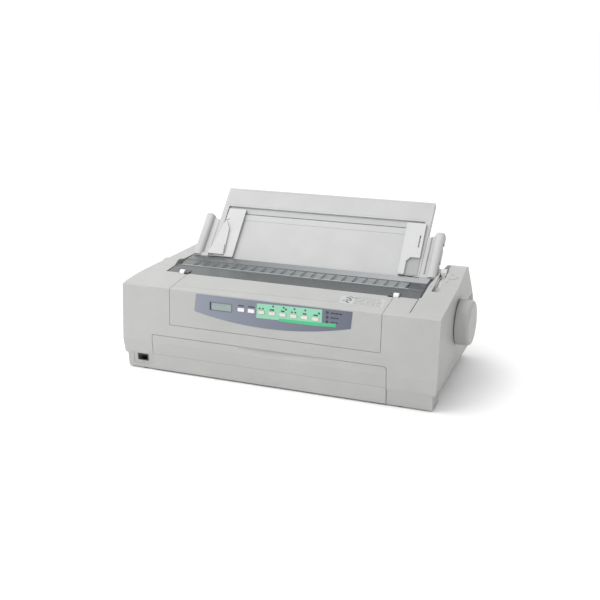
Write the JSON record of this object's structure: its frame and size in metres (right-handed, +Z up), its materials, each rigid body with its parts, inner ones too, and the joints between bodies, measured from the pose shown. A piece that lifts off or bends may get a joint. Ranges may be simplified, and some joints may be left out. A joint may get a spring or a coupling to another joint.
{
  "type": "dot matrix printer",
  "caption": "Wide-carriage dot matrix printer with a hinged smoked top cover, tilting sheet guide, front cover, platen knob and key panel.",
  "frame": {"origin": "centre of the whole machine's footprint box, on the plane under the feet", "axes": "+X to the right (knob side), +Y to the rear, +Z up; the front face looks along -Y"},
  "size_m": [0.585, 0.2906, 0.2757],
  "materials": {
    "case_plastic": "fine satin grain, warm light grey",
    "base_plastic": "fine satin grain, warm light grey",
    "guide_plastic": "smooth satin, pale grey",
    "smoked": "dark translucent grey-green",
    "label": "blue-grey printed film with a mint and green field",
    "lcd": "grey-green window",
    "white_keys": "white",
    "mint_keys": "pale mint",
    "lamps": "dark unlit lamps",
    "hinge_white": "white",
    "black_plastic": "black",
    "dark_plastic": "black moulded",
    "board": "green circuit board",
    "steel": "bare steel",
    "motor": "black painted steel",
    "rubber": "black rubber",
    "nylon": "natural nylon",
    "brass": "turned brass",
    "zinc": "zinc-plated sheet",
    "ribbon_blue": "blue"
  },
  "bodies": {
    "case": {"lower_case": "base_plastic", "upper_case": "case_plastic", "operator_hood": "case_plastic", "panel_overlay": "label", "lcd_window": "lcd", "panel_lamps": "lamps", "panel_board": "board", "hinge_brackets": "hinge_white", "rear_deck": "case_plastic", "platen_bushes": "nylon", "feed_motor": "motor", "chassis": "zinc", "side_frame_left": "zinc", "side_frame_right": "zinc", "carriage_rod": "steel", "carriage_rail": "steel", "carriage_motor": "motor", "carriage_belt": "rubber", "tractor_rod": "steel", "switch_housing": "black_plastic", "main_board": "board", "power_supply": "zinc", "feet": "rubber", "case_screws": "steel"},
    "front_cover_body": {"front_cover": "case_plastic"},
    "smoked_cover_body": {"smoked_cover": "smoked"},
    "sheet_guide_body": {"sheet_guide": "guide_plastic", "guide_plate": "guide_plastic", "guide_arm_left": "guide_plastic", "guide_arm_right": "guide_plastic"},
    "edge_left_body": {"edge_guide_left": "guide_plastic"},
    "edge_right_body": {"edge_guide_right": "guide_plastic"},
    "platen_body": {"platen_knob": "base_plastic", "platen_shaft": "steel", "platen_roller": "rubber", "platen_gear": "nylon"},
    "feed_idler_body": {"feed_idler": "nylon"},
    "motor_pinion_body": {"motor_pinion": "brass"},
    "tractor_idler_body": {"tractor_idler": "nylon"},
    "tractor_shaft_body": {"tractor_shaft": "nylon"},
    "tractor_left_body": {"tractor_left": "dark_plastic"},
    "tractor_right_body": {"tractor_right": "dark_plastic"},
    "carriage_body": {"carriage": "dark_plastic", "print_head": "motor", "ribbon_cartridge": "dark_plastic"},
    "ribbon_knob_body": {"ribbon_knob": "ribbon_blue"},
    "drive_pulley_body": {"drive_pulley": "nylon"},
    "idler_pulley_body": {"idler_pulley": "nylon"},
    "paper_bail_body": {"paper_bail": "steel"},
    "bail_rollers_body": {"bail_rollers": "rubber"},
    "release_lever_body": {"release_lever": "guide_plastic"},
    "power_rocker_body": {"power_rocker": "black_plastic"},
    "menu_button_left_body": {"menu_button_left": "white_keys"},
    "menu_button_right_body": {"menu_button_right": "white_keys"},
    "panel_key_1_body": {"panel_key_1": "mint_keys"},
    "panel_key_2_body": {"panel_key_2": "mint_keys"},
    "panel_key_3_body": {"panel_key_3": "mint_keys"},
    "panel_key_4_body": {"panel_key_4": "mint_keys"},
    "panel_key_5_body": {"panel_key_5": "mint_keys"},
    "panel_key_6_body": {"panel_key_6": "mint_keys"}
  },
  "joints": [
    {"name": "front_cover_hinge", "type": "hinge", "parent": "case", "child": "front_cover_body", "pos_m": [-0.0125, -0.1355, 0.009], "axis": [1, 0, 0], "range_deg": [0, 85]},
    {"name": "smoked_cover_hinge", "type": "hinge", "parent": "case", "child": "smoked_cover_body", "pos_m": [-0.0125, -0.0673, 0.16], "axis": [1, 0, 0], "range_deg": [0, 100]},
    {"name": "sheet_guide_tilt", "type": "hinge", "parent": "case", "child": "sheet_guide_body", "pos_m": [-0.0125, 0.0394, 0.1638], "axis": [1, 0, 0], "range_deg": [-40, 0]},
    {"name": "edge_left_slide", "type": "slide", "parent": "sheet_guide_body", "child": "edge_left_body", "axis": [1, 0, 0], "range_m": [0, 0.08]},
    {"name": "edge_right_slide", "type": "slide", "parent": "sheet_guide_body", "child": "edge_right_body", "axis": [1, 0, 0], "range_m": [-0.2, 0]},
    {"name": "platen_turn", "type": "hinge", "parent": "case", "child": "platen_body", "pos_m": [-0.0125, -0.0053, 0.109], "axis": [1, 0, 0], "continuous": true},
    {"name": "feed_idler_turn", "type": "hinge", "parent": "case", "child": "feed_idler_body", "pos_m": [-0.256, -0.03932, 0.07499], "axis": [1, 0, 0], "continuous": true},
    {"name": "motor_pinion_turn", "type": "hinge", "parent": "case", "child": "motor_pinion_body", "pos_m": [-0.256, -0.06038, 0.05793], "axis": [1, 0, 0], "continuous": true},
    {"name": "tractor_idler_turn", "type": "hinge", "parent": "case", "child": "tractor_idler_body", "pos_m": [-0.256, 0.04156, 0.11982], "axis": [1, 0, 0], "continuous": true},
    {"name": "tractor_shaft_turn", "type": "hinge", "parent": "case", "child": "tractor_shaft_body", "pos_m": [-0.0125, 0.07674, 0.12794], "axis": [1, 0, 0], "continuous": true},
    {"name": "tractor_left_slide", "type": "slide", "parent": "case", "child": "tractor_left_body", "axis": [1, 0, 0], "range_m": [-0.02, 0.12]},
    {"name": "tractor_right_slide", "type": "slide", "parent": "case", "child": "tractor_right_body", "axis": [1, 0, 0], "range_m": [-0.12, 0.02]},
    {"name": "carriage_slide", "type": "slide", "parent": "case", "child": "carriage_body", "axis": [1, 0, 0], "range_m": [-0.12, 0.22]},
    {"name": "ribbon_knob_turn", "type": "hinge", "parent": "carriage_body", "child": "ribbon_knob_body", "pos_m": [-0.0485, -0.0793, 0.116], "axis": [0, 0, 1], "continuous": true},
    {"name": "drive_pulley_turn", "type": "hinge", "parent": "case", "child": "drive_pulley_body", "pos_m": [0.1935, -0.0753, 0.06], "axis": [0, 0, 1], "range_deg": [-720, 1320]},
    {"name": "idler_pulley_turn", "type": "hinge", "parent": "case", "child": "idler_pulley_body", "pos_m": [-0.1975, -0.0753, 0.06], "axis": [0, 0, 1], "range_deg": [-720, 1320]},
    {"name": "paper_bail_lift", "type": "hinge", "parent": "case", "child": "paper_bail_body", "pos_m": [-0.0125, -0.0453, 0.126], "axis": [1, 0, 0], "range_deg": [0, 35]},
    {"name": "bail_rollers_turn", "type": "hinge", "parent": "paper_bail_body", "child": "bail_rollers_body", "pos_m": [-0.0125, -0.0161, 0.1321], "axis": [1, 0, 0], "continuous": true},
    {"name": "release_lever_turn", "type": "hinge", "parent": "case", "child": "release_lever_body", "pos_m": [0.2335, 0.0127, 0.124], "axis": [1, 0, 0], "range_deg": [0, 30]},
    {"name": "power_rocker_tilt", "type": "hinge", "parent": "case", "child": "power_rocker_body", "pos_m": [-0.2564, -0.1353, 0.02195], "axis": [0, 0, 1], "range_deg": [-16, 0]},
    {"name": "menu_button_left_press", "type": "slide", "parent": "case", "child": "menu_button_left_body", "axis": [0, 0.9969, -0.0785], "range_m": [0, 0.0008], "stiffness_N_per_m": 400},
    {"name": "menu_button_right_press", "type": "slide", "parent": "case", "child": "menu_button_right_body", "axis": [0, 0.9969, -0.0785], "range_m": [0, 0.0008], "stiffness_N_per_m": 400},
    {"name": "panel_key_1_press", "type": "slide", "parent": "case", "child": "panel_key_1_body", "axis": [0, 0.9969, -0.0785], "range_m": [0, 0.0008], "stiffness_N_per_m": 400},
    {"name": "panel_key_2_press", "type": "slide", "parent": "case", "child": "panel_key_2_body", "axis": [0, 0.9969, -0.0785], "range_m": [0, 0.0008], "stiffness_N_per_m": 400},
    {"name": "panel_key_3_press", "type": "slide", "parent": "case", "child": "panel_key_3_body", "axis": [0, 0.9969, -0.0785], "range_m": [0, 0.0008], "stiffness_N_per_m": 400},
    {"name": "panel_key_4_press", "type": "slide", "parent": "case", "child": "panel_key_4_body", "axis": [0, 0.9969, -0.0785], "range_m": [0, 0.0008], "stiffness_N_per_m": 400},
    {"name": "panel_key_5_press", "type": "slide", "parent": "case", "child": "panel_key_5_body", "axis": [0, 0.9969, -0.0785], "range_m": [0, 0.0008], "stiffness_N_per_m": 400},
    {"name": "panel_key_6_press", "type": "slide", "parent": "case", "child": "panel_key_6_body", "axis": [0, 0.9969, -0.0785], "range_m": [0, 0.0008], "stiffness_N_per_m": 400}
  ],
  "couplings": [
    {"joint": "feed_idler_turn", "follows": "platen_turn", "ratio": -1.6667},
    {"joint": "motor_pinion_turn", "follows": "platen_turn", "ratio": 3.3333},
    {"joint": "tractor_idler_turn", "follows": "platen_turn", "ratio": -1.6667},
    {"joint": "tractor_shaft_turn", "follows": "platen_turn", "ratio": 1.6667},
    {"joint": "drive_pulley_turn", "follows": "carriage_slide", "rad_per_m": 100.5},
    {"joint": "idler_pulley_turn", "follows": "carriage_slide", "rad_per_m": 100.5}
  ]
}
